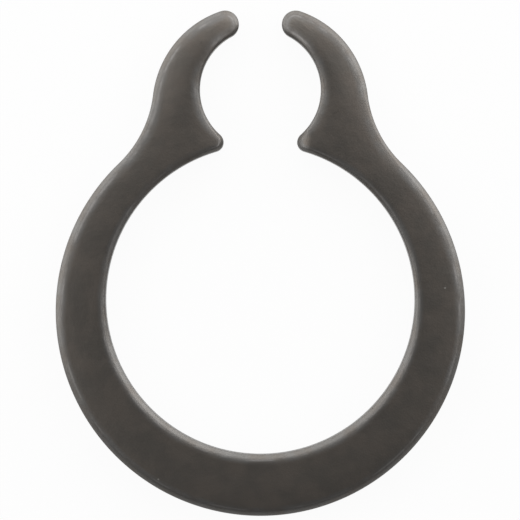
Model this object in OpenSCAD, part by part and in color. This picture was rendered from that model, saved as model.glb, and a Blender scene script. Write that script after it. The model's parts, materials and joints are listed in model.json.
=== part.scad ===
// External retaining ring for the groove of an 8 mm shaft, blanked in one piece from spring steel.
//
// The ring lies on its underside. The bore's axis is Z, and the gap between the two horned lugs
// opens towards +Y. Its outline is one closed chain of tangent arcs. A strip with the edge's own
// section follows each arc, and a flat core fills what the strips enclose.

/* [Band] */
// Bore of the relaxed ring, which is smaller than the groove that it grips
bore_d = 7.4; // [5:0.1:10]
// Radial width of the band opposite the gap
band_w = 1.47; // [1.1:0.01:1.9]
// How far the outer circle's middle lies behind the bore's, which thins the band towards the lugs
band_taper = 0.275; // [0.1:0.005:0.4]
// Thickness of the strip that the ring is blanked from
thickness = 0.8; // [0.6:0.05:1.2]

/* [Lugs] */
// Width over the round backs of both lugs
lugs_w = 5.17; // [4.2:0.01:6.4]
// Radius of each lug's back
back_r = 2.43; // [1.9:0.01:3]
// Radius of the hollow between each lug's back and the band
hollow_r = 2.71; // [1.5:0.01:4]
// Gap between the tips of the two horns
tip_gap = 1.03; // [0.7:0.01:1.5]
// Radius of each horn's tip
tip_r = 0.33; // [0.25:0.01:0.45]

/* [Plier recess] */
// Diameter of the round recess that the horns enclose
recess_d = 2.9; // [2.3:0.01:3.5]
// Height of the recess's middle above the bore
recess_rise = 1.33; // [1.05:0.01:1.65]
// Radius of the point between the recess and the bore
point_r = 0.23; // [0.16:0.01:0.35]

/* [Edges] */
// Radius rolled on to the upper edges when the ring is blanked and tumbled
roll_r = 0.18; // [0.04:0.01:0.25]
// Radius that breaks the lower edges
break_r = 0.05; // [0.02:0.01:0.12]

/* [Hidden] */
$fn = 96;

steel = [0.29, 0.28, 0.265];

bore_r = bore_d / 2;
outer_r = bore_r + band_w - band_taper;
recess_r = recess_d / 2;

// Depths from the wall, one lap apart: where the core starts, where the strips end under it, and
// how wide their section is drawn. The roll leaves room for them in the tightest round.
lap = 0.012;
roll = min(roll_r, min(point_r, tip_r) - 4 * lap);
core_in = roll + lap;
strip_in = core_in + lap;
section_in = strip_in + lap;

// Middles of the arcs on the right-hand half
bore_mid = [0, 0];
outer_mid = [0, -band_taper];
recess_mid = [0, bore_r + recess_rise];
tip_x = tip_gap / 2 + tip_r;
tip_mid = [tip_x, recess_mid.y + leg(recess_r + tip_r, tip_x)];
back_x = lugs_w / 2 - back_r;
back_mid = [back_x, tip_mid.y - leg(back_r - tip_r, tip_x - back_x)];
hollow_mid = crossing(outer_mid, outer_r + hollow_r, back_mid, back_r + hollow_r);
point_mid = crossing(bore_mid, bore_r + point_r, recess_mid, recess_r + point_r);

// Arcs from the foot of the outer circle, up round the right-hand lug, to the foot of the bore
right_half = [
    arc(outer_mid, outer_r, 1, -90, heading(outer_mid, hollow_mid)),
    arc(hollow_mid, hollow_r, -1, heading(hollow_mid, outer_mid), heading(hollow_mid, back_mid)),
    arc(back_mid, back_r, 1, heading(back_mid, hollow_mid), heading(back_mid, tip_mid)),
    arc(tip_mid, tip_r, 1, heading(back_mid, tip_mid), heading(tip_mid, recess_mid)),
    arc(recess_mid, recess_r, -1, heading(recess_mid, tip_mid), heading(recess_mid, point_mid)),
    arc(point_mid, point_r, 1, heading(point_mid, recess_mid), heading(point_mid, bore_mid)),
    arc(bore_mid, bore_r, -1, heading(bore_mid, point_mid), -90)
];
outline = concat(right_half, [for (i = [len(right_half) - 1:-1:0]) flipped(right_half[i])]);

// Other leg of a right-angled triangle
function leg(hypotenuse, side) = sqrt(hypotenuse ^ 2 - side ^ 2);

// Angle of the line from a to b
function heading(a, b) = atan2(b.y - a.y, b.x - a.x);

// Where a circle about a meets one about b, on the right of the line from a to b
function crossing(a, a_r, b, b_r) =
    let (
        apart = norm(b - a),
        ahead = (a_r ^ 2 - b_r ^ 2 + apart ^ 2) / (2 * apart),
        u = (b - a) / apart
    )
    a + ahead * u + leg(a_r, ahead) * [u.y, -u.x];

// An arc is [middle, radius, bulge, first angle, last angle]. Bulge is 1 where the metal lies
// inside the circle and the arc runs anticlockwise, and -1 where it lies outside it.
function arc(mid, r, bulge, from, to) =
    [mid, r, bulge, from, from + bulge * ((bulge * (to - from) + 720) % 360)];

function flipped(a) = [[-a[0].x, a[0].y], a[1], a[2], 180 - a[4], 180 - a[3]];

// Points along an arc, at a depth inside the metal, with chords that stray a quarter of the lap
function along(a, depth) =
    let (
        sweep = a[4] - a[3],
        steps = ceil(abs(sweep) / (2 * acos(1 - lap / 4 / a[1])))
    )
    [
        for (i = [0:steps])
            let (angle = a[3] + sweep * i / steps)
            a[0] + (a[1] - a[2] * depth) * [cos(angle), sin(angle)]
    ];

function reversed(list) = [for (i = [len(list) - 1:-1:0]) list[i]];

// Moves its children to a place in two steps, the second under a micron. Six digits of each then
// keep the place so closely that tangent walls meet without a step.
module put(place) {
    rough = [for (v = place) round(v * 1000) / 1000];
    translate(rough) translate(place - rough) children();
}

// What rounding to a radius takes off a corner at the origin, with the metal below and left of it
module corner_waste(r) {
    difference() {
        translate([-r, -r]) square(2 * r);
        translate([-r, -r]) circle(r);
    }
}

// Section of the edge: the wall stands on x = 0, and the metal lies left of it
module edge_section() {
    difference() {
        translate([-section_in, 0]) square([section_in, thickness]);
        translate([0, thickness]) corner_waste(roll);
        mirror([0, 1]) corner_waste(break_r);
    }
}

// Whole turn of the edge about an arc's middle, with its wall inside where the arc is hollow
module turned_edge(a) {
    rotate_extrude() translate([a[1], 0]) mirror([a[2] < 0 ? 1 : 0, 0]) edge_section();
}

// Strip along one arc, cut square at both ends, where the next strip takes over
module edge_strip(a) {
    intersection() {
        put(a[0]) turned_edge(a);
        translate([0, 0, -lap])
            linear_extrude(thickness + 2 * lap)
            polygon(concat(along(a, -lap), reversed(along(a, strip_in))));
    }
}

module core() {
    linear_extrude(thickness)
        polygon([
            for (a = outline)
                let (points = along(a, core_in))
                for (i = [1:len(points) - 1]) points[i]
        ]);
}

module retaining_ring() {
    color(steel) {
        core();
        for (a = outline) edge_strip(a);
    }
}

retaining_ring();
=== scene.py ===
"""Visible model of an external retaining ring, blanked in one piece from spring-steel strip.

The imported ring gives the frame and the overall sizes. The visible ring follows the same closed
chain of tangent arcs, and adds what blanking, tumbling and phosphating leave: an upper edge that
rolls over, a face that sinks towards it, ends that bend down, a sheared wall, and a fine, oiled,
crystalline finish.
"""

import json
from itertools import groupby
from math import atan2, ceil, cos, hypot, inf, pi, radians, sin, sqrt, tan, tau
from typing import NamedTuple

import bmesh
import bpy
from bmesh.types import BMEdge, BMFace, BMVert
from bpy.props import FloatProperty, FloatVectorProperty, IntProperty, PointerProperty
from mathutils import Matrix, Vector, noise
from mathutils.kdtree import KDTree


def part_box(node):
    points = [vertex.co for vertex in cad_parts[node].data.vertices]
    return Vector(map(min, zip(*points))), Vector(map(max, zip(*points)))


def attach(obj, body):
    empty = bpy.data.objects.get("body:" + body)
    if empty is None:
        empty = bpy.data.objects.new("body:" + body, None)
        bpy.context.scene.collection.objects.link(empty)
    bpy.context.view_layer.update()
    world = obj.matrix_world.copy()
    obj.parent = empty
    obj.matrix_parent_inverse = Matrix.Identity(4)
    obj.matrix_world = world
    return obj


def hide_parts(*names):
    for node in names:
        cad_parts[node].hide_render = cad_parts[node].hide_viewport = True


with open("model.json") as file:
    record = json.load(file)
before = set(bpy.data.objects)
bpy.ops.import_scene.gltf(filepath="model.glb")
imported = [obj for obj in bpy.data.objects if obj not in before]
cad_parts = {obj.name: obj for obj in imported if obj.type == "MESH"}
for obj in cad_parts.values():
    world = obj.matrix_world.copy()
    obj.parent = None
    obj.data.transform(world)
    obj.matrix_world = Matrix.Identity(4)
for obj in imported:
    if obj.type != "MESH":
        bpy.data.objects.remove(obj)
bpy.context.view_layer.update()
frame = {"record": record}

bl_info = {
    "name": "Retaining Ring",
    "version": (1, 0, 0),
    "blender": (4, 5, 0),
    "location": "3D View > Sidebar > Ring",
    "description": "Models a stamped external retaining ring and its studio",
    "category": "Add Mesh",
}

NODE = "retaining_ring"

MM = 0.001
UP = Vector((0, 0, 1))

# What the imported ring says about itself
low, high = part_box(NODE)
mounts = {mount["name"]: mount for mount in frame["record"]["mounts"]}
BORE_RADIUS = mounts["shaft_seat"]["dims"]["r_mm"] * MM
RECESS_MIDDLE = Vector(mounts["plier_recess"]["pos_m"])


# Properties

class RingSizes(bpy.types.PropertyGroup):
    """Sizes of the ring's outline that its frame doesn't give."""

    lugs_width: FloatProperty(
        name="Lugs width", description="Width over the round backs of both lugs",
        default=5.17 * MM, min=4.2 * MM, max=6.4 * MM, precision=5, unit="LENGTH",
    )
    back_radius: FloatProperty(
        name="Back radius", description="Radius of each lug's back",
        default=2.43 * MM, min=1.9 * MM, max=3 * MM, precision=5, unit="LENGTH",
    )
    hollow_radius: FloatProperty(
        name="Hollow radius", description="Radius of the hollow between a lug's back and the band",
        default=2.71 * MM, min=1.5 * MM, max=4 * MM, precision=5, unit="LENGTH",
    )
    tip_gap: FloatProperty(
        name="Tip gap", description="Gap between the tips of the two horns",
        default=1.03 * MM, min=0.7 * MM, max=1.5 * MM, precision=5, unit="LENGTH",
    )
    tip_radius: FloatProperty(
        name="Tip radius", description="Radius of each horn's tip",
        default=0.33 * MM, min=0.25 * MM, max=0.45 * MM, precision=5, unit="LENGTH",
    )
    recess_radius: FloatProperty(
        name="Recess radius", description="Radius of the round recess that the horns enclose",
        default=1.45 * MM, min=1.15 * MM, max=1.75 * MM, precision=5, unit="LENGTH",
    )
    point_radius: FloatProperty(
        name="Point radius", description="Radius of the point between the recess and the bore",
        default=0.23 * MM, min=0.16 * MM, max=0.35 * MM, precision=5, unit="LENGTH",
    )
    step: FloatProperty(
        name="Step", description="Distance between two points of the outline",
        default=0.045 * MM, min=0.03 * MM, max=0.2 * MM, precision=6, unit="LENGTH",
    )


class RingEdges(bpy.types.PropertyGroup):
    """How the upper edge rolls over along each stretch, how the face sinks towards it, and how
    the tips and the points bend down."""

    foot_roll: FloatProperty(
        name="Foot roll", description="Width of the roll along the lower half of the outer circle",
        default=0.27 * MM, min=0.05 * MM, max=0.6 * MM, precision=5, unit="LENGTH",
    )
    band_roll: FloatProperty(
        name="Band roll", description="Width of the roll along the rest of the outer circle",
        default=0.35 * MM, min=0.05 * MM, max=0.6 * MM, precision=5, unit="LENGTH",
    )
    hollow_roll: FloatProperty(
        name="Hollow roll", description="Width of the roll along the hollow behind each lug",
        default=0.38 * MM, min=0.05 * MM, max=0.6 * MM, precision=5, unit="LENGTH",
    )
    back_roll: FloatProperty(
        name="Back roll", description="Width of the roll along each lug's back",
        default=0.33 * MM, min=0.05 * MM, max=0.6 * MM, precision=5, unit="LENGTH",
    )
    tip_roll: FloatProperty(
        name="Tip roll", description="Width of the roll round each horn's tip",
        default=0.26 * MM, min=0.05 * MM, max=0.3 * MM, precision=5, unit="LENGTH",
    )
    recess_roll: FloatProperty(
        name="Recess roll", description="Width of the roll along the plier recess",
        default=0.31 * MM, min=0.05 * MM, max=0.5 * MM, precision=5, unit="LENGTH",
    )
    point_roll: FloatProperty(
        name="Point roll", description="Width of the roll round each point",
        default=0.19 * MM, min=0.05 * MM, max=0.2 * MM, precision=5, unit="LENGTH",
    )
    shoulder_roll: FloatProperty(
        name="Shoulder roll", description="Width of the roll along the upper half of the bore",
        default=0.26 * MM, min=0.05 * MM, max=0.4 * MM, precision=5, unit="LENGTH",
    )
    bore_roll: FloatProperty(
        name="Bore roll", description="Width of the roll along the rest of the bore",
        default=0.31 * MM, min=0.05 * MM, max=0.4 * MM, precision=5, unit="LENGTH",
    )
    roll_tilt: FloatProperty(
        name="Roll tilt", description="How steeply the roll meets the bevel",
        default=radians(27), min=radians(10), max=radians(45), unit="ROTATION",
    )
    hollow_roll_tilt: FloatProperty(
        name="Hollow roll tilt",
        description="How steeply the roll meets the bevel along the hollows, recess and shoulders",
        default=radians(24), min=radians(10), max=radians(45), unit="ROTATION",
    )
    bevel: FloatProperty(
        name="Bevel", description="Width of the steep strip that tumbling leaves along the wall",
        default=0.10 * MM, min=0.02 * MM, max=0.2 * MM, precision=5, unit="LENGTH",
    )
    hollow_bevel: FloatProperty(
        name="Hollow bevel", description="Width of the bevel along hollows, recess and shoulders",
        default=0.055 * MM, min=0.02 * MM, max=0.2 * MM, precision=5, unit="LENGTH",
    )
    tip_bevel: FloatProperty(
        name="Tip bevel", description="Width of the bevel round each horn's tip",
        default=0.08 * MM, min=0.02 * MM, max=0.2 * MM, precision=5, unit="LENGTH",
    )
    point_bevel: FloatProperty(
        name="Point bevel", description="Width of the bevel round each point",
        default=0.10 * MM, min=0.02 * MM, max=0.2 * MM, precision=5, unit="LENGTH",
    )
    bevel_tilt: FloatProperty(
        name="Bevel tilt", description="Tilt of the bevel",
        default=radians(38), min=radians(30), max=radians(70), unit="ROTATION",
    )
    point_bevel_tilt: FloatProperty(
        name="Point bevel tilt", description="Tilt of the bevel round each point",
        default=radians(56), min=radians(30), max=radians(70), unit="ROTATION",
    )
    corner_radius: FloatProperty(
        name="Corner radius", description="Radius of the round between the bevel and the wall",
        default=0.02 * MM, min=0.01 * MM, max=0.08 * MM, precision=6, unit="LENGTH",
    )
    band_sink: FloatProperty(
        name="Band sink", description="How far the face sinks towards the outer circle",
        default=0.06 * MM, min=0, max=0.25 * MM, precision=5, unit="LENGTH",
    )
    hollow_sink: FloatProperty(
        name="Hollow sink", description="How far the face sinks towards each lug's hollow",
        default=0.08 * MM, min=0, max=0.25 * MM, precision=5, unit="LENGTH",
    )
    back_sink: FloatProperty(
        name="Back sink", description="How far the face sinks towards each lug's back",
        default=0.19 * MM, min=0, max=0.25 * MM, precision=5, unit="LENGTH",
    )
    tip_sink: FloatProperty(
        name="Tip sink", description="How far the face sinks towards each horn's tip",
        default=0.12 * MM, min=0, max=0.25 * MM, precision=5, unit="LENGTH",
    )
    recess_sink: FloatProperty(
        name="Recess sink", description="How far the face sinks towards the recess",
        default=0.06 * MM, min=0, max=0.25 * MM, precision=5, unit="LENGTH",
    )
    sink_reach: FloatProperty(
        name="Sink reach", description="How far in from the wall the face begins to sink",
        default=0.75 * MM, min=0.3 * MM, max=1 * MM, precision=5, unit="LENGTH",
    )
    lug_reach: FloatProperty(
        name="Lug reach", description="How far in from a lug's back or tip the face begins to sink",
        default=1.0 * MM, min=0.3 * MM, max=1.5 * MM, precision=5, unit="LENGTH",
    )
    recess_reach: FloatProperty(
        name="Recess reach", description="How far in from the recess the face begins to sink",
        default=0.6 * MM, min=0.3 * MM, max=1 * MM, precision=5, unit="LENGTH",
    )
    tip_droop: FloatProperty(
        name="Tip droop", description="How far the horns bend down towards their tips",
        default=0.26 * MM, min=0, max=0.35 * MM, precision=5, unit="LENGTH",
    )
    tip_droop_length: FloatProperty(
        name="Tip droop length", description="Length of each horn that bends down",
        default=1.2 * MM, min=0.3 * MM, max=3 * MM, precision=5, unit="LENGTH",
    )
    tip_heading: FloatProperty(
        name="Tip heading", description="How far up from the gap between them the tips bend",
        default=radians(50), min=0, max=radians(90), unit="ROTATION",
    )
    left_point_droop: FloatProperty(
        name="Left point droop", description="How far the left point bends down",
        default=0.02 * MM, min=0, max=0.35 * MM, precision=5, unit="LENGTH",
    )
    right_point_droop: FloatProperty(
        name="Right point droop", description="How far the right point bends down",
        default=0.2 * MM, min=0, max=0.35 * MM, precision=5, unit="LENGTH",
    )
    point_droop_length: FloatProperty(
        name="Point droop length", description="Length of each point that bends down",
        default=0.33 * MM, min=0.2 * MM, max=1 * MM, precision=5, unit="LENGTH",
    )
    blend: FloatProperty(
        name="Blend", description="Length over which one roll width passes into the next",
        default=0.35 * MM, min=0.1 * MM, max=1 * MM, precision=5, unit="LENGTH",
    )
    unevenness: FloatProperty(
        name="Unevenness", description="How much tumbling varies the roll's width",
        default=0.08, min=0, max=0.3, subtype="FACTOR",
    )
    break_radius: FloatProperty(
        name="Break radius", description="Radius that breaks the lower edge",
        default=0.05 * MM, min=0.02 * MM, max=0.12 * MM, precision=5, unit="LENGTH",
    )
    roll_rows: IntProperty(
        name="Roll rows", description="Rows of faces across the roll", default=16, min=4, max=32,
    )


class RingFinish(bpy.types.PropertyGroup):
    """Colours and textures of the phosphated and oiled steel."""

    coating: FloatVectorProperty(
        name="Coating", description="Colour of the phosphate",
        default=(0.1315, 0.1155, 0.1015), min=0, max=1, size=3, subtype="COLOR",
    )
    oiled: FloatVectorProperty(
        name="Oiled coating", description="Colour of the phosphate where it holds more oil",
        default=(0.1225, 0.1115, 0.100), min=0, max=1, size=3, subtype="COLOR",
    )
    # Lighter, greyer coating along the roll: part wear, part painted sheen that stands in for the
    # edge's highlight. The wall's streaks use it too.
    rubbed: FloatVectorProperty(
        name="Rubbed coating", description="Colour where tumbling has thinned the phosphate",
        default=(0.142, 0.137, 0.131), min=0, max=1, size=3, subtype="COLOR",
    )
    # A lighter line where the roll meets the bevel: part burnish, part painted highlight along the
    # edge
    burnished: FloatVectorProperty(
        name="Burnished line", description="Colour of the line where the roll meets the bevel",
        default=(0.205, 0.195, 0.188), min=0, max=1, size=3, subtype="COLOR",
    )
    fleck: FloatVectorProperty(
        name="Fleck", description="Colour of a fleck of bare steel",
        default=(0.30, 0.29, 0.27), min=0, max=1, size=3, subtype="COLOR",
    )
    torn: FloatVectorProperty(
        name="Torn steel", description="Colour of the lower wall, where the metal tore",
        default=(0.080, 0.072, 0.064), min=0, max=1, size=3, subtype="COLOR",
    )
    metallic: FloatProperty(
        name="Metallic", description="How much of the steel's own gloss comes through",
        default=1.0, min=0, max=1, subtype="FACTOR",
    )
    roughness: FloatProperty(
        name="Roughness", description="Mean roughness of the coating",
        default=0.43, min=0.1, max=1, subtype="FACTOR",
    )
    oil: FloatProperty(
        name="Oil", description="Weight of the film of oil on the coating",
        default=0.2, min=0, max=1, subtype="FACTOR",
    )
    crystal_size: FloatProperty(
        name="Crystal size", description="Size of the phosphate's crystals",
        default=0.045 * MM, min=0.005 * MM, max=0.1 * MM, precision=6, unit="LENGTH",
    )
    dent_size: FloatProperty(
        name="Dent size", description="Width of the shallow dents that tumbling leaves",
        default=0.45 * MM, min=0.1 * MM, max=2 * MM, precision=5, unit="LENGTH",
    )
    patch_size: FloatProperty(
        name="Patch size", description="Size of the patches where the oil lies thicker",
        default=0.6 * MM, min=0.2 * MM, max=5 * MM, precision=5, unit="LENGTH",
    )
    fleck_spacing: FloatProperty(
        name="Fleck spacing", description="Rough distance between flecks of bare steel",
        default=0.8 * MM, min=0.2 * MM, max=5 * MM, precision=5, unit="LENGTH",
    )
    streak_width: FloatProperty(
        name="Streak width", description="Width of the streaks that the die drew down the wall",
        default=0.05 * MM, min=0.01 * MM, max=0.2 * MM, precision=6, unit="LENGTH",
    )
    torn_share: FloatProperty(
        name="Torn share", description="Share of the thickness in which the wall is torn",
        default=0.4, min=0, max=0.7, subtype="FACTOR",
    )


class RingStudio(bpy.types.PropertyGroup):
    """The floor, the lamps and the camera."""

    floor_colour: FloatVectorProperty(
        name="Floor", description="Colour of the floor",
        default=(0.85, 0.85, 0.85), min=0, max=1, size=3, subtype="COLOR",
    )
    floor_radius: FloatProperty(
        name="Floor radius", description="Radius of the round floor, out to its rim",
        default=0.5, min=0.2, max=1, unit="LENGTH",
    )
    rim_height: FloatProperty(
        name="Rim height", description="Height of the low rim, which hides the floor's edge",
        default=0.045, min=0, max=0.1, unit="LENGTH",
    )
    view_width: FloatProperty(
        name="View width", description="Width of what the camera sees at the ring",
        default=12.418 * MM, min=5 * MM, max=100 * MM, precision=5, unit="LENGTH",
    )
    aim_right: FloatProperty(
        name="Aim right", description="How far right of the ring's middle the camera looks",
        default=-0.009 * MM, min=-MM, max=MM, precision=6, unit="LENGTH",
    )
    aim_up: FloatProperty(
        name="Aim up", description="How far above the ring's middle the camera looks",
        default=0.0715 * MM, min=-MM, max=MM, precision=6, unit="LENGTH",
    )
    lens: FloatProperty(
        name="Lens", description="Focal length of the camera in millimetres",
        default=400, min=50, max=1000,
    )
    ambient: FloatProperty(
        name="Ambient", description="Level of the light from all round", default=0.25, min=0, max=1,
    )


# The ring's outline

# Where along the bore its narrower roll ends
SHOULDER_END = radians(-10)
# A length too small to see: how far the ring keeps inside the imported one, and how near each other
# two points count as one
HAIR = 0.001 * MM


class Edge(NamedTuple):
    """The upper edge along an arc."""

    bevel: float  # width of the steep strip along the wall
    bevel_tilt: float
    roll: float  # width of the bevel and the roll together
    roll_tilt: float  # how steeply the roll meets the bevel
    sink: float  # how far the face sinks towards the arc
    reach: float  # how far in from the wall the face begins to sink


class Arc(NamedTuple):
    """Part of a circle."""

    middle: Vector
    radius: float
    bulge: int  # 1 where the steel lies inside the circle, and -1 where it lies outside
    start: float
    sweep: float
    edge: Edge


def polar(radius, angle):
    """The point at that angle on a circle about the origin."""
    return Vector((radius * cos(angle), radius * sin(angle), 0))


def heading(a, b):
    """Angle of the line from a to b."""
    return atan2(b.y - a.y, b.x - a.x)


def leg(hypotenuse, side):
    """Other leg of a right-angled triangle."""
    return sqrt(hypotenuse**2 - side**2)


def crossing(a, a_radius, b, b_radius):
    """Where a circle about a meets one about b, on the right of the line from a to b."""
    apart = (b - a).length
    ahead = (a_radius**2 - b_radius**2 + apart**2) / (2 * apart)
    along = (b - a) / apart
    return a + ahead * along + leg(a_radius, ahead) * along.cross(UP)


def arc(middle, radius, bulge, start, end, edge):
    """An arc from start to end. The outline follows it anticlockwise if its bulge is 1, and
    clockwise if it is -1."""
    sweep = bulge * ((bulge * (end - start)) % tau)
    return Arc(middle, radius, bulge, start, sweep, edge)


def right_half(sizes, edges):
    """Arcs from the foot of the outer circle, up round the right-hand lug, to the bore's foot."""
    outer_radius = (high.x - low.x) / 2 - HAIR
    bore = Vector((0, 0, 0))
    outer = Vector((0, low.y + outer_radius + HAIR, 0))
    recess = Vector((0, RECESS_MIDDLE.y, 0))

    tip_x = sizes.tip_gap / 2 + sizes.tip_radius
    tip = Vector((tip_x, recess.y + leg(sizes.recess_radius + sizes.tip_radius, tip_x), 0))
    back_x = sizes.lugs_width / 2 - sizes.back_radius
    drop = leg(sizes.back_radius - sizes.tip_radius, tip_x - back_x)
    back = Vector((back_x, tip.y - drop, 0))
    hollow = crossing(
        outer, outer_radius + sizes.hollow_radius, back, sizes.back_radius + sizes.hollow_radius
    )
    point = crossing(
        bore, BORE_RADIUS + sizes.point_radius, recess, sizes.recess_radius + sizes.point_radius
    )

    def edge(roll, sink=0, reach=0):
        return Edge(edges.bevel, edges.bevel_tilt, roll, edges.roll_tilt, sink, reach)

    def soft_edge(roll, sink=0, reach=0):
        return edge(roll, sink, reach)._replace(
            bevel=edges.hollow_bevel, roll_tilt=edges.hollow_roll_tilt,
        )

    reach = edges.sink_reach
    back_edge = edge(edges.back_roll, edges.back_sink, edges.lug_reach)
    tip_edge = back_edge._replace(
        bevel=edges.tip_bevel, roll=edges.tip_roll, sink=edges.tip_sink,
    )
    point_edge = Edge(
        edges.point_bevel, edges.point_bevel_tilt, edges.point_roll, edges.roll_tilt, 0, 0
    )
    foot = -pi / 2
    return [
        arc(outer, outer_radius, 1, foot, 0, edge(edges.foot_roll, edges.band_sink, reach)),
        arc(outer, outer_radius, 1, 0, heading(outer, hollow),
            edge(edges.band_roll, edges.band_sink, reach)),
        arc(hollow, sizes.hollow_radius, -1, heading(hollow, outer), heading(hollow, back),
            soft_edge(edges.hollow_roll, edges.hollow_sink, reach)),
        arc(back, sizes.back_radius, 1, heading(back, hollow), heading(back, tip), back_edge),
        arc(tip, sizes.tip_radius, 1, heading(back, tip), heading(tip, recess), tip_edge),
        arc(recess, sizes.recess_radius, -1, heading(recess, tip), heading(recess, point),
            soft_edge(edges.recess_roll)),
        arc(point, sizes.point_radius, 1, heading(point, recess), heading(point, bore),
            point_edge),
        arc(bore, BORE_RADIUS, -1, heading(bore, point), SHOULDER_END,
            soft_edge(edges.shoulder_roll)),
        arc(bore, BORE_RADIUS, -1, SHOULDER_END, foot, edge(edges.bore_roll)),
    ]


# Mesh helpers

def only(kind, parts):
    """Those parts that are of one kind."""
    return [part for part in parts if isinstance(part, kind)]


def parts_of(things, kind):
    """The edges or verts of some things, each once, in the order in which they come."""
    return list(dict.fromkeys(part for thing in things for part in getattr(thing, kind)))


def put_in_order(parts):
    """Sorts edges or faces by their vertices, because an extrusion leaves them in another order on
    each run."""
    ranked = sorted(parts, key=lambda part: sorted(vert.index for vert in part.verts))
    places = {part: place for place, part in enumerate(ranked)}
    parts.sort(key=places.get)


# The ring's mesh

# Rows of faces round the broken lower edge, up the wall, round the upper corner and over the bevel
BREAK_ROWS = 4
WALL_ROWS = 4
CORNER_ROWS = 3
BEVEL_ROWS = 4
# Width of the flat rim of each face, as a share of the radius that breaks the lower edge
RIM = 0.25
# A roll never takes more than this share of the radius of the round that it follows
MOST_OF_ROUND = 0.86
# Power with which the roll steepens towards the bevel
ROLL_POWER = 3
# How much rounder than flat the bevel is
BEVEL_CROWN = 0.2
# Size of the waves that tumbling leaves in the roll's width
WAVE = 1.1 * MM
# Radius over which the face's sinking is averaged, so that it has no crease along a horn's middle,
# and how many spots on that circle the mean is taken from
SOFTNESS = 0.14 * MM
SOFTNESS_SPOTS = 8
# Side of the squares that the upper face is diced into, so that it can sink towards its edges, and
# how near a cut a point already counts as on it
DICE = 0.09 * MM
ON_CUT = HAIR / 10


class Row(NamedTuple):
    """A row of the edge's section. It lies in from the wall, and part of the way from its floor up
    to its top, which lies below the sunken face."""

    inset: float = 0  # how far in it lies,
    bevel: float = 0  # with this share of the bevel's width
    roll: float = 0  # and this share of the rest of the roll's width besides
    floor: float = 0  # height above the underside
    rise: float = 0  # share of the way up to its top
    below: float = 0  # how far its top lies below the face,
    fall: float = 0  # with this share of the bevel's depth
    drop: float = 0  # and this share of the roll's depth besides
    # how much the row wears, and how much painted sheen the finish gives it
    wear: float = 0
    wall: bool = False  # whether the faces under it are the wall's


def edge_rows(edges):
    """The edge's section, from the rim of the underside up to the rim of the upper face."""
    broken = edges.break_radius
    rim = broken * RIM
    corner = edges.corner_radius
    corner_end = pi / 2 - edges.bevel_tilt
    corner_width = corner * (1 - cos(corner_end))

    rows = [Row(inset=broken + rim)]
    for i in range(BREAK_ROWS + 1):
        turn = pi / 2 * i / BREAK_ROWS
        rows.append(Row(
            inset=broken * (1 - sin(turn)), floor=broken * (1 - cos(turn)), wear=i / BREAK_ROWS,
        ))
    for i in range(1, WALL_ROWS + 1):
        rows.append(Row(
            floor=broken, rise=i / WALL_ROWS, fall=1, drop=1, below=corner * sin(corner_end),
            wear=1, wall=True,
        ))
    for i in range(1, CORNER_ROWS + 1):
        turn = corner_end * i / CORNER_ROWS
        rows.append(Row(
            inset=corner * (1 - cos(turn)), rise=1, fall=1, drop=1,
            below=corner * (sin(corner_end) - sin(turn)), wear=1,
        ))
    for i in range(1, BEVEL_ROWS + 1):
        rest = 1 - i / BEVEL_ROWS
        fall = rest * (1 + BEVEL_CROWN * rest) / (1 + BEVEL_CROWN)
        rows.append(Row(
            inset=corner_width * rest, bevel=1 - rest, rise=1, fall=fall, drop=1, wear=1,
        ))
    for i in range(1, edges.roll_rows + 1):
        rest = 1 - i / edges.roll_rows
        rows.append(Row(bevel=1, roll=1 - rest, rise=1, drop=rest**ROLL_POWER, wear=rest))
    rows.append(Row(inset=rim, bevel=1, roll=1, rise=1))
    return rows


class Marks:
    """What is noted at each vertex: where its wall stands and which way that faces, how steeply
    the sunken face meets the wall, the edge there, and how much wear and painted sheen the vertex
    gets."""

    def __init__(self, mesh):
        layers = mesh.verts.layers
        self.foot = layers.float_vector.new("foot")
        self.facing = layers.float_vector.new("facing")
        self.slope = layers.float.new("slope")
        self.wear = layers.float.new("wear")
        self.edge = {field: layers.float.new(field) for field in Edge._fields}

    def note_edge(self, vert, edge):
        for field, layer in self.edge.items():
            vert[layer] = getattr(edge, field)

    def edge_at(self, vert):
        return Edge(**{field: vert[layer] for field, layer in self.edge.items()})

    def rub_out(self, mesh):
        """Removes all but the mask of wear and painted sheen, which the finish reads."""
        layers = mesh.verts.layers
        for name in ("foot", "facing"):
            layers.float_vector.remove(layers.float_vector[name])
        for name in ("slope", *self.edge):
            layers.float.remove(layers.float[name])


def trace(mesh, arcs, step, marks):
    """Spins one vertex through the arcs. Returns its stops in order, with the widest roll that
    each has room for."""
    first = arcs[0]
    start = first.middle + polar(first.radius, first.start)
    chain = bmesh.ops.create_vert(mesh, co=start)["vert"]
    limits = []
    for stretch in arcs:
        steps = ceil(abs(stretch.sweep) * stretch.radius / step)
        done = len(chain)
        bmesh.ops.spin(
            mesh, geom=[chain[-1]], cent=stretch.middle, axis=UP,
            angle=stretch.sweep, steps=steps, use_duplicate=False,
        )
        mesh.verts.ensure_lookup_table()
        chain += mesh.verts[done:]
        room = stretch.radius * MOST_OF_ROUND if stretch.bulge > 0 else inf
        for vert in chain[len(limits):]:
            vert[marks.facing] = (vert.co - stretch.middle).normalized() * stretch.bulge
            marks.note_edge(vert, stretch.edge)
            limits.append(room)
    return chain, limits


def even_out(chain, layer, passes, limits=None):
    """Lets a measure pass smoothly from each stretch into the next, within its limits."""
    for _ in range(passes):
        values = [vert[layer] for vert in chain]
        padded = [values[0], *values, values[-1]]
        for i, vert in enumerate(chain):
            mean = (padded[i] + 2 * padded[i + 1] + padded[i + 2]) / 4
            vert[layer] = min(mean, limits[i]) if limits else mean


def mirror_half(mesh, marks):
    """Adds the left half, facing the other way."""
    bmesh.ops.mirror(
        mesh, geom=mesh.verts[:] + mesh.edges[:], matrix=Matrix.Identity(4),
        merge_dist=HAIR, axis="X",
    )
    for vert in mesh.verts:
        if vert.co.x < 0:
            vert[marks.facing] = Vector((-1, 1, 1)) * vert[marks.facing]


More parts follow.
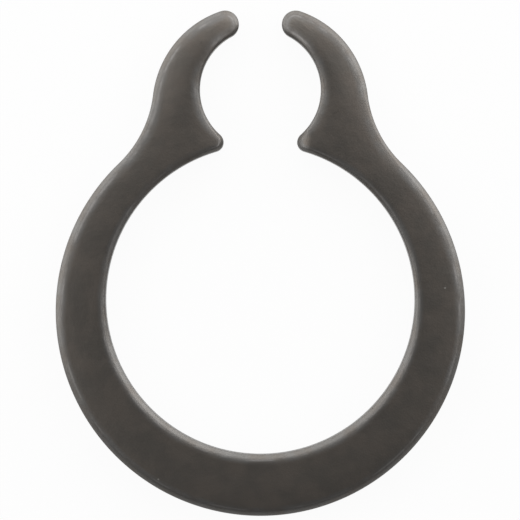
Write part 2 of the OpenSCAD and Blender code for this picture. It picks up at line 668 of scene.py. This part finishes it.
def bend(mesh, bottom, top, angle, length, left_droop, right_droop):
    """A function that says how far the ends nearest the gap, between bottom and top, bend down
    at a point. They bend along a line at that angle, measured up from level towards the gap."""
    def lean(flat):
        return flat.y * sin(angle) - abs(flat.x) * cos(angle)

    def belongs(flat):
        return bottom < flat.y < top

    end = max(lean(vert.co) for vert in mesh.verts if belongs(vert.co))

    def bends(flat):
        if not belongs(flat):
            return 0
        droop = left_droop if flat.x < 0 else right_droop
        return droop * max(1 - (end - lean(flat)) / length, 0) ** 2

    return bends


def sunken_face(mesh, marks, sizes, edges):
    """A function that says how far the upper face sinks at a point: most at the wall, and
    nothing once it is the wall's reach in. The tips and the points also bend down as a whole."""
    around = [polar(SOFTNESS, tau * i / SOFTNESS_SPOTS) for i in range(SOFTNESS_SPOTS)]
    waist = RECESS_MIDDLE.y
    tips = bend(
        mesh, waist, inf, edges.tip_heading, edges.tip_droop_length, edges.tip_droop,
        edges.tip_droop,
    )
    points = bend(
        mesh, 0, waist, 0, edges.point_droop_length, edges.left_point_droop,
        edges.right_point_droop,
    )
    known = []
    for vert in mesh.verts:
        edge = marks.edge_at(vert)
        if edge.reach:
            known.append((vert.co.copy(), vert[marks.facing].copy(), edge.sink, edge.reach))
    tree = KDTree(len(known))
    for i, near in enumerate(known):
        tree.insert(near[0], i)
    tree.balance()

    def sinks_at(flat):
        foot, facing, sink, reach = known[tree.find(flat)[1]]
        away = foot - flat
        inward = away.dot(facing)
        # Past the end of a wall that the face sinks to, the distance is from that end
        along = max(sqrt(max(away.length_squared - inward**2, 0)) - sizes.step, 0)
        distance = hypot(max(inward, 0), along) if along else inward
        from_recess = hypot(flat.x, flat.y - RECESS_MIDDLE.y) - sizes.recess_radius
        return (
            sink * max(1 - distance / reach, 0) ** 2
            + edges.recess_sink * max(1 - from_recess / edges.recess_reach, 0) ** 2
            + tips(flat)
        )

    def sinks(point):
        flat = Vector((point.x, point.y, 0))
        return sum(sinks_at(flat + side) for side in around) / len(around) + points(flat)

    return sinks


def edge_depths(edge, slope):
    """Depths of the bevel and the roll, which steepen the slope that the sunken face has at the
    wall."""
    bevel = edge.bevel * (tan(edge.bevel_tilt) - slope)
    roll = (edge.roll - edge.bevel) / ROLL_POWER * (tan(edge.roll_tilt) - slope)
    return max(bevel, 0), max(roll, 0)


def dice(mesh, faces, side):
    """Cuts a flat face into squares."""
    for axis, normal in enumerate((Vector((1, 0, 0)), Vector((0, 1, 0)))):
        near, far = low[axis], high[axis]
        count = ceil((far - near) / side)
        for i in range(1, count):
            cut = bmesh.ops.bisect_plane(
                mesh, geom=[*faces, *parts_of(faces, "edges"), *parts_of(faces, "verts")],
                dist=ON_CUT, plane_no=normal, plane_co=normal * (near + (far - near) * i / count),
            )
            faces = only(BMFace, cut["geom"])
    return faces


def outline(mesh, marks, sizes, edges):
    """Makes the closed loop of edges that the ring grows from, and notes what lies along it."""
    chain, limits = trace(mesh, right_half(sizes, edges), sizes.step, marks)
    # Each pass adds half a step squared to the variance of the spread
    passes = ceil(2 * (edges.blend / sizes.step) ** 2)
    for name in ("bevel", "bevel_tilt", "roll_tilt"):
        even_out(chain, marks.edge[name], passes)
    even_out(chain, marks.edge["roll"], passes, limits)
    for sinks_here, run in groupby(chain, key=lambda vert: vert[marks.edge["reach"]] > 0):
        if sinks_here:
            run = list(run)
            even_out(run, marks.edge["sink"], passes)
            even_out(run, marks.edge["reach"], passes)
    mirror_half(mesh, marks)
    for vert in mesh.verts:
        vert[marks.foot] = vert.co
        vert[marks.edge["roll"]] *= 1 + edges.unevenness * noise.noise(vert.co / WAVE)


def note_slopes(mesh, marks, sinks):
    """Notes how steeply the sunken face falls over the bevel's width."""
    for vert in mesh.verts:
        strip = vert[marks.edge["bevel"]]
        fall = sinks(vert.co) - sinks(vert.co - strip * vert[marks.facing])
        vert[marks.slope] = fall / strip


def draw_up(mesh, marks, edges, sinks):
    """Draws the outline up through the edge's section. Returns the rim of the upper face."""
    rim = mesh.edges[:]
    for number, row in enumerate(edge_rows(edges)):
        if number:
            made = bmesh.ops.extrude_edge_only(mesh, edges=rim)["geom"]
            for face in only(BMFace, made):
                face.material_index = int(row.wall)
            rim = [e for e in only(BMEdge, made) if e.is_boundary]
        for vert in parts_of(rim, "verts"):
            edge = marks.edge_at(vert)
            inset = row.inset + row.bevel * edge.bevel + row.roll * (edge.roll - edge.bevel)
            spot = vert[marks.foot] - vert[marks.facing] * inset
            bevel_depth, roll_depth = edge_depths(edge, vert[marks.slope])
            top = high.z - sinks(spot) - row.fall * bevel_depth - row.drop * roll_depth - row.below
            vert.co = spot + UP * (low.z + row.floor + row.rise * (top - low.z - row.floor))
            vert[marks.wear] = row.wear
    return rim


def close_top(mesh, marks, rim, sinks):
    """Fills the rim with the sunken upper face."""
    upper = bmesh.ops.contextual_create(mesh, geom=rim)["faces"]
    squares = dice(mesh, upper, DICE)
    on_rim = set(parts_of([e for e in rim if e.is_valid], "verts"))
    for vert in parts_of(squares, "verts"):
        if vert not in on_rim:
            vert.co.z = high.z - sinks(vert.co)
            vert[marks.wear] = 0


def ring_mesh(sizes, edges):
    """The outline is drawn up through the edge's section and closed above and below."""
    mesh = bmesh.new()
    marks = Marks(mesh)
    outline(mesh, marks, sizes, edges)
    sinks = sunken_face(mesh, marks, sizes, edges)
    note_slopes(mesh, marks, sinks)
    rim = draw_up(mesh, marks, edges, sinks)
    close_top(mesh, marks, rim, sinks)
    marks.rub_out(mesh)
    lower = [e for e in mesh.edges if e.is_boundary]
    bmesh.ops.contextual_create(mesh, geom=lower)
    mesh.verts.index_update()
    put_in_order(mesh.edges)
    put_in_order(mesh.faces)
    bmesh.ops.recalc_face_normals(mesh, faces=mesh.faces[:])
    for face in mesh.faces:
        face.smooth = True
    return mesh


# Node helpers

def feed(tree, socket, value):
    """Gives an input a value, or links it to the socket that it takes its value from."""
    if isinstance(value, bpy.types.NodeSocket):
        tree.links.new(value, socket)
    else:
        socket.default_value = value


def put(tree, kind, inputs=None, **settings):
    """Adds a node and feeds its inputs."""
    node = tree.nodes.new(kind)
    for name, value in settings.items():
        setattr(node, name, value)
    for name, value in (inputs or {}).items():
        feed(tree, node.inputs[name], value)
    return node


def new_group(name, inputs, outputs):
    """A shader node group with named sockets. Returns it with its input and output nodes."""
    group = bpy.data.node_groups.new(name, "ShaderNodeTree")
    for socket, kind in inputs.items():
        group.interface.new_socket(name=socket, in_out="INPUT", socket_type=kind)
    for socket, kind in outputs.items():
        group.interface.new_socket(name=socket, in_out="OUTPUT", socket_type=kind)
    return group, put(group, "NodeGroupInput"), put(group, "NodeGroupOutput")


def ramp(tree, value, start, end, low_value=0, high_value=1):
    """Maps start..end to low..high along a smooth step."""
    return put(
        tree, "ShaderNodeMapRange",
        {"Value": value, "From Min": start, "From Max": end,
         "To Min": low_value, "To Max": high_value},
        interpolation_type="SMOOTHSTEP",
    ).outputs["Result"]


def colours_of(sockets):
    return [socket for socket in sockets if socket.type == "RGBA"]


def blend(tree, share, a, b):
    """Colour that passes from a to b as the share grows."""
    node = put(tree, "ShaderNodeMix", {"Factor": share}, data_type="RGBA")
    for socket, value in zip(colours_of(node.inputs), (a, b)):
        linked = isinstance(value, bpy.types.NodeSocket)
        feed(tree, socket, value if linked else (*value, 1))
    return colours_of(node.outputs)[0]


def reckon(tree, operation, a, b):
    """One sum on two values, each a number or a socket."""
    node = put(tree, "ShaderNodeMath", operation=operation)
    for socket, value in zip(node.inputs, (a, b)):
        feed(tree, socket, value)
    return node.outputs[0]


# How strongly each finer layer of a noise shows
LAYERING = 0.55


def cloud(tree, place, scale, detail):
    """Noise from about 0.25 to 0.75."""
    return put(
        tree, "ShaderNodeTexNoise",
        {"Vector": place, "Scale": scale, "Detail": detail, "Roughness": LAYERING},
    ).outputs["Fac"]


# Finishes

# Depths of the crystals and the dents as shares of their sizes
CRYSTAL_DEPTH = 0.07
DENT_DEPTH = 0.028
# Radius of a fleck as a share of the spacing
FLECK_RADIUS = 0.035
OIL_ROUGHNESS = 0.35
# How far the roughness swings about its mean from patch to patch
ROUGHNESS_SWING = 0.025
# The mask of wear and sheen runs from 0 on both faces to 1 on the bevel. These are its values
# between which the coating thins and lightens, part wear and part painted sheen, and between which
# the painted highlight line lies.
THINNING_AND_SHEEN = (0.15, 0.7)
BURNISHED_SHEEN = (0.6, 1.0)
# The values of a noise between which a patch passes into the next, the coating thins and lightens
# fully, part wear and part painted sheen, and the painted highlight line begins to show
PATCHY = (0.3, 0.7)
FULL_THINNING_AND_SHEEN = (0.35, 0.65)
SHEEN_LINE_SHOWS = (0.4, 0.65)
# The least share by which the coating thins and lightens, part wear and part painted sheen
LEAST_THINNING_AND_SHEEN = 0.3
# How far the line between the wall's smooth burnish zone and its torn zone wanders, and how softly
# it passes
TORN_WANDER = 0.3 * MM
TORN_BLEND = 0.03 * MM
# How much smoother than the coating the wall's burnish zone is, and how much rougher the torn one
BURNISHED_SHINE = 0.08
TORN_DULLNESS = 0.15
# Width of a streak as a share of its length
STREAK_SLIMNESS = 0.08
# Depths of the streaks and the chips as shares of the streaks' width
STREAK_DEPTH = 0.15
CHIP_DEPTH = 0.5


def phosphate_group():
    """What the coating does on every side: its relief, the patches of oil and the flecks."""
    number = "NodeSocketFloat"
    group, given, result = new_group(
        "Phosphate",
        {"Vector": "NodeSocketVector", "Crystal size": number, "Dent size": number,
         "Patch size": number, "Fleck spacing": number},
        {"Relief": number, "Patch": number, "Fleck": number},
    )
    place = given.outputs["Vector"]
    size = given.outputs

    def per(name):
        return reckon(group, "DIVIDE", 1, size[name])

    def bumps(name, depth, detail):
        return reckon(
            group, "MULTIPLY", cloud(group, place, per(name), detail),
            reckon(group, "MULTIPLY", size[name], depth),
        )

    crystals = bumps("Crystal size", CRYSTAL_DEPTH, 3)
    dents = bumps("Dent size", DENT_DEPTH, 2)
    relief = reckon(group, "ADD", crystals, dents)
    patch = ramp(group, cloud(group, place, per("Patch size"), detail=3), *PATCHY)
    cells = put(
        group, "ShaderNodeTexVoronoi", {"Vector": place, "Scale": per("Fleck spacing")},
    ).outputs["Distance"]
    fleck = ramp(group, cells, FLECK_RADIUS / 2, FLECK_RADIUS, 1, 0)
    for name, socket in (("Relief", relief), ("Patch", patch), ("Fleck", fleck)):
        group.links.new(socket, result.inputs[name])
    return group


def new_material(name):
    material = bpy.data.materials.new(name)
    material.use_nodes = True
    material.node_tree.nodes.clear()
    return material, material.node_tree


def coat(tree, group, finish, place):
    """Places the group that both finishes share."""
    return put(
        tree, "ShaderNodeGroup",
        {"Vector": place, "Crystal size": finish.crystal_size, "Dent size": finish.dent_size,
         "Patch size": finish.patch_size, "Fleck spacing": finish.fleck_spacing},
        node_tree=group,
    ).outputs


def oiled_metal(tree, finish, colour, roughness, relief):
    """The shader that both finishes end in. Relief is a height in metres."""
    bump = put(tree, "ShaderNodeBump", {"Height": relief, "Strength": 1, "Distance": 1})
    shader = put(
        tree, "ShaderNodeBsdfPrincipled",
        {"Base Color": colour, "Metallic": finish.metallic, "Roughness": roughness,
         "Coat Weight": finish.oil, "Coat Roughness": OIL_ROUGHNESS,
         "Normal": bump.outputs["Normal"]},
    )
    put(tree, "ShaderNodeOutputMaterial", {"Surface": shader.outputs["BSDF"]})


def phosphated_steel(group, finish):
    """Both faces and the roll. Along the roll, the coating is thinned and lightened in places, part
    tumbling wear and part painted sheen, most of all in a lighter line where the roll meets the
    bevel, part burnish and part painted highlight."""
    material, tree = new_material("phosphated steel")
    place = put(tree, "ShaderNodeTexCoord").outputs["Object"]
    phosphate = coat(tree, group, finish, place)
    edge_wear_and_sheen = put(tree, "ShaderNodeAttribute", attribute_name="wear").outputs["Fac"]
    # Where the coating lightens along the roll: part wear, part painted sheen that stands in for
    # the edge's highlight
    wear = reckon(
        tree, "MULTIPLY", ramp(tree, edge_wear_and_sheen, *THINNING_AND_SHEEN),
        ramp(
            tree, cloud(tree, place, 1 / finish.dent_size, detail=4), *FULL_THINNING_AND_SHEEN,
            LEAST_THINNING_AND_SHEEN, 1,
        ),
    )
    # The line of painted highlight where the roll meets the bevel, part burnish
    start, end = BURNISHED_SHEEN
    middle = (start + end) / 2
    line = reckon(
        tree, "MULTIPLY", ramp(tree, edge_wear_and_sheen, start, middle),
        ramp(tree, edge_wear_and_sheen, middle, end, 1, 0),
    )
    shows = ramp(tree, cloud(tree, place, 1 / finish.patch_size, detail=4), *SHEEN_LINE_SHOWS)
    colour = blend(tree, phosphate["Patch"], finish.coating, finish.oiled)
    # Lightens the roll towards the edge: part wear, part painted sheen
    colour = blend(tree, wear, colour, finish.rubbed)
    # Painted highlight along the line where the roll meets the bevel, part burnish
    colour = blend(tree, reckon(tree, "MULTIPLY", line, shows), colour, finish.burnished)
    colour = blend(tree, phosphate["Fleck"], colour, finish.fleck)
    roughness = ramp(
        tree, phosphate["Patch"], 0, 1,
        finish.roughness + ROUGHNESS_SWING, finish.roughness - ROUGHNESS_SWING,
    )
    oiled_metal(tree, finish, colour, roughness, phosphate["Relief"])
    return material


def sheared_steel(group, finish):
    """The wall, with a burnish zone that the die smoothed and streaked above, and torn below."""
    material, tree = new_material("sheared steel")
    place = put(tree, "ShaderNodeTexCoord").outputs["Object"]
    phosphate = coat(tree, group, finish, place)
    height = put(tree, "ShaderNodeSeparateXYZ", {"Vector": place}).outputs["Z"]
    front = low.z + (high.z - low.z) * finish.torn_share
    wander = reckon(
        tree, "MULTIPLY", cloud(tree, place, 1 / finish.patch_size, detail=4), TORN_WANDER
    )
    middle = front + TORN_WANDER / 2
    torn = ramp(
        tree, reckon(tree, "ADD", height, wander),
        middle - TORN_BLEND, middle + TORN_BLEND, 1, 0,
    )
    drawn = put(
        tree, "ShaderNodeMapping", {"Vector": place, "Scale": (1, 1, STREAK_SLIMNESS)}
    ).outputs["Vector"]
    streaks = cloud(tree, drawn, 1 / finish.streak_width, detail=3)
    chips = cloud(tree, place, 1 / finish.streak_width, detail=4)

    colour = blend(tree, ramp(tree, streaks, *PATCHY), finish.coating, finish.rubbed)
    colour = blend(tree, torn, colour, finish.torn)
    colour = blend(tree, phosphate["Fleck"], colour, finish.fleck)
    roughness = ramp(
        tree, torn, 0, 1, finish.roughness - BURNISHED_SHINE, finish.roughness + TORN_DULLNESS
    )
    grooves = reckon(tree, "MULTIPLY", streaks, finish.streak_width * STREAK_DEPTH)
    pits = reckon(
        tree, "MULTIPLY", reckon(tree, "MULTIPLY", chips, torn),
        finish.streak_width * CHIP_DEPTH,
    )
    relief = reckon(tree, "ADD", reckon(tree, "ADD", grooves, pits), phosphate["Relief"])
    oiled_metal(tree, finish, colour, roughness, relief)
    return material


# Objects

def settle(name, mesh, materials):
    """Turns a finished bmesh into an object at the origin."""
    data = bpy.data.meshes.new(name)
    mesh.to_mesh(data)
    mesh.free()
    for material in materials:
        data.materials.append(material)
    thing = bpy.data.objects.new(name, data)
    bpy.context.scene.collection.objects.link(thing)
    return thing


# Studio

class Board(NamedTuple):
    """A soft board that stands round the ring in an arc. Its angles are in degrees."""

    name: str
    start: float  # azimuths, measured from +X towards +Y
    end: float
    bottom: float  # elevations
    top: float
    distance: float
    glow: float  # 1 looks white


BOARDS = [
    Board("low", 10, 190, 0, 14, 100 * MM, 3),
    Board("right", 10, 70, 14, 28, 100 * MM, 3),
    Board("left", 70, 210, 14, 28, 100 * MM, 1),
    Board("upper right", -30, 70, 28, 42, 70 * MM, 1.2),
    Board("upper left", 70, 200, 28, 42, 70 * MM, 1.8),
    Board("high right", -10, 70, 43, 67, 30 * MM, 0.4),
    Board("high left", 70, 230, 43, 67, 30 * MM, 0.3),
]
# The widest flat panel that an arc is made from, in degrees
PANEL = 42
# Share of the floor's own white in what the camera or a glossy surface sees of it
FLOOR_GLOW = 0.95
# Straight sides that make up the floor's round edge
FLOOR_SIDES = 128


def add_panel(board, azimuth, width):
    """One flat panel that faces the origin, as an area lamp."""
    data = bpy.data.lights.new(board.name, "AREA")
    data.shape = "RECTANGLE"
    data.size = 2 * board.distance * tan(width / 2)
    data.size_y = 2 * board.distance * tan(radians(board.top - board.bottom) / 2)
    data.energy = board.glow * pi * data.size * data.size_y
    light = bpy.data.objects.new(board.name, data)
    bpy.context.scene.collection.objects.link(light)
    elevation = radians(board.bottom + board.top) / 2
    outward = polar(cos(elevation), azimuth) + UP * sin(elevation)
    light.location = board.distance * outward
    light.rotation_euler = outward.to_track_quat("Z", "Y").to_euler()
    light.visible_camera = False


def add_board(board):
    """One arc, as a row of flat panels."""
    span = board.end - board.start
    panels = ceil(span / PANEL)
    width = radians(span) / panels
    for i in range(panels):
        add_panel(board, radians(board.start) + width * (i + 0.5), width)


def floor_material(studio):
    """A matt floor. What the camera or a glossy or clear surface sees of it is mostly white of
    its own, so that it stays pale and keeps a soft shadow."""
    material, tree = new_material("floor")
    matt = put(tree, "ShaderNodeBsdfDiffuse", {"Color": (*studio.floor_colour, 1)})
    white = put(tree, "ShaderNodeEmission", {"Color": (1, 1, 1, 1), "Strength": 1})
    path = put(tree, "ShaderNodeLightPath")
    seen = reckon(tree, "ADD", path.outputs["Is Camera Ray"], path.outputs["Is Glossy Ray"])
    seen = reckon(tree, "ADD", seen, path.outputs["Is Transmission Ray"])
    share = reckon(tree, "MULTIPLY", seen, FLOOR_GLOW)
    mixed = put(tree, "ShaderNodeMixShader", {"Fac": share})
    tree.links.new(matt.outputs["BSDF"], mixed.inputs[1])
    tree.links.new(white.outputs["Emission"], mixed.inputs[2])
    put(tree, "ShaderNodeOutputMaterial", {"Surface": mixed.outputs["Shader"]})
    return material


def add_floor(studio):
    """A round floor. Its edge slopes up to a low rim, so that a low camera still sees floor."""
    mesh = bmesh.new()
    flat_radius = studio.floor_radius - studio.rim_height
    bmesh.ops.create_circle(mesh, cap_ends=True, segments=FLOOR_SIDES, radius=flat_radius)
    made = bmesh.ops.extrude_edge_only(mesh, edges=mesh.edges[:])["geom"]
    rim = only(BMVert, made)
    spread = studio.floor_radius / flat_radius
    bmesh.ops.scale(mesh, vec=(spread, spread, 1), verts=rim)
    bmesh.ops.translate(mesh, vec=UP * studio.rim_height, verts=rim)
    bmesh.ops.translate(mesh, vec=UP * low.z, verts=mesh.verts[:])
    bmesh.ops.recalc_face_normals(mesh, faces=mesh.faces[:])
    floor = settle("floor", mesh, [floor_material(studio)])


def add_camera(studio):
    """A long lens that looks straight down."""
    data = bpy.data.cameras.new("camera")
    data.lens = studio.lens
    data.clip_start = MM
    data.clip_end = 2 * studio.floor_radius
    camera = bpy.data.objects.new("camera", data)
    bpy.context.scene.collection.objects.link(camera)
    distance = studio.view_width * studio.lens / data.sensor_width
    middle = (low + high) / 2
    camera.location = (middle.x + studio.aim_right, middle.y + studio.aim_up, high.z + distance)
    bpy.context.scene.camera = camera


def new_world(studio):
    """Even light from all round."""
    world = bpy.data.worlds.new("studio")
    world.use_nodes = True
    inputs = world.node_tree.nodes["Background"].inputs
    inputs["Color"].default_value = (1, 1, 1, 1)
    inputs["Strength"].default_value = studio.ambient
    return world


# Operators

class RING_OT_make_ring(bpy.types.Operator):
    """Model the ring and give it its finish"""

    bl_idname = "ring.make_ring"
    bl_label = "Make Ring"

    def execute(self, context):
        scene = context.scene
        group = phosphate_group()
        ring = settle(
            "ring",
            ring_mesh(scene.ring_sizes, scene.ring_edges),
            [
                phosphated_steel(group, scene.ring_finish),
                sheared_steel(group, scene.ring_finish),
            ],
        )
        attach(ring, "root")
        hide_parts(NODE)
        return {"FINISHED"}


class RING_OT_set_stage(bpy.types.Operator):
    """Lay the floor, and set the lamps and the camera"""

    bl_idname = "ring.set_stage"
    bl_label = "Set Stage"

    def execute(self, context):
        studio = context.scene.ring_studio
        add_floor(studio)
        add_camera(studio)
        for board in BOARDS:
            add_board(board)
        context.scene.world = new_world(studio)
        context.scene.view_settings.view_transform = "Standard"
        return {"FINISHED"}


class RING_PT_sidebar(bpy.types.Panel):
    """Lists every size and colour, and the two operators"""

    bl_idname = "RING_PT_sidebar"
    bl_label = "Retaining Ring"
    bl_space_type = "VIEW_3D"
    bl_region_type = "UI"
    bl_category = "Ring"

    def draw(self, context):
        layout = self.layout
        for name in GROUPS:
            column = layout.column(heading=name)
            group = getattr(context.scene, name)
            for prop in group.bl_rna.properties:
                if not prop.is_readonly and prop.identifier != "name":
                    column.prop(group, prop.identifier)
        layout.operator(RING_OT_make_ring.bl_idname)
        layout.operator(RING_OT_set_stage.bl_idname)


GROUPS = {
    "ring_sizes": RingSizes,
    "ring_edges": RingEdges,
    "ring_finish": RingFinish,
    "ring_studio": RingStudio,
}
CLASSES = (*GROUPS.values(), RING_OT_make_ring, RING_OT_set_stage, RING_PT_sidebar)


def register():
    for cls in CLASSES:
        bpy.utils.register_class(cls)
    for name, group in GROUPS.items():
        setattr(bpy.types.Scene, name, PointerProperty(type=group))


def unregister():
    for name in GROUPS:
        delattr(bpy.types.Scene, name)
    for cls in reversed(CLASSES):
        bpy.utils.unregister_class(cls)


def main():
    """Makes the ring and its studio."""
    register()
    bpy.ops.ring.make_ring()
    bpy.ops.ring.set_stage()


if __name__ == "__main__":
    main()
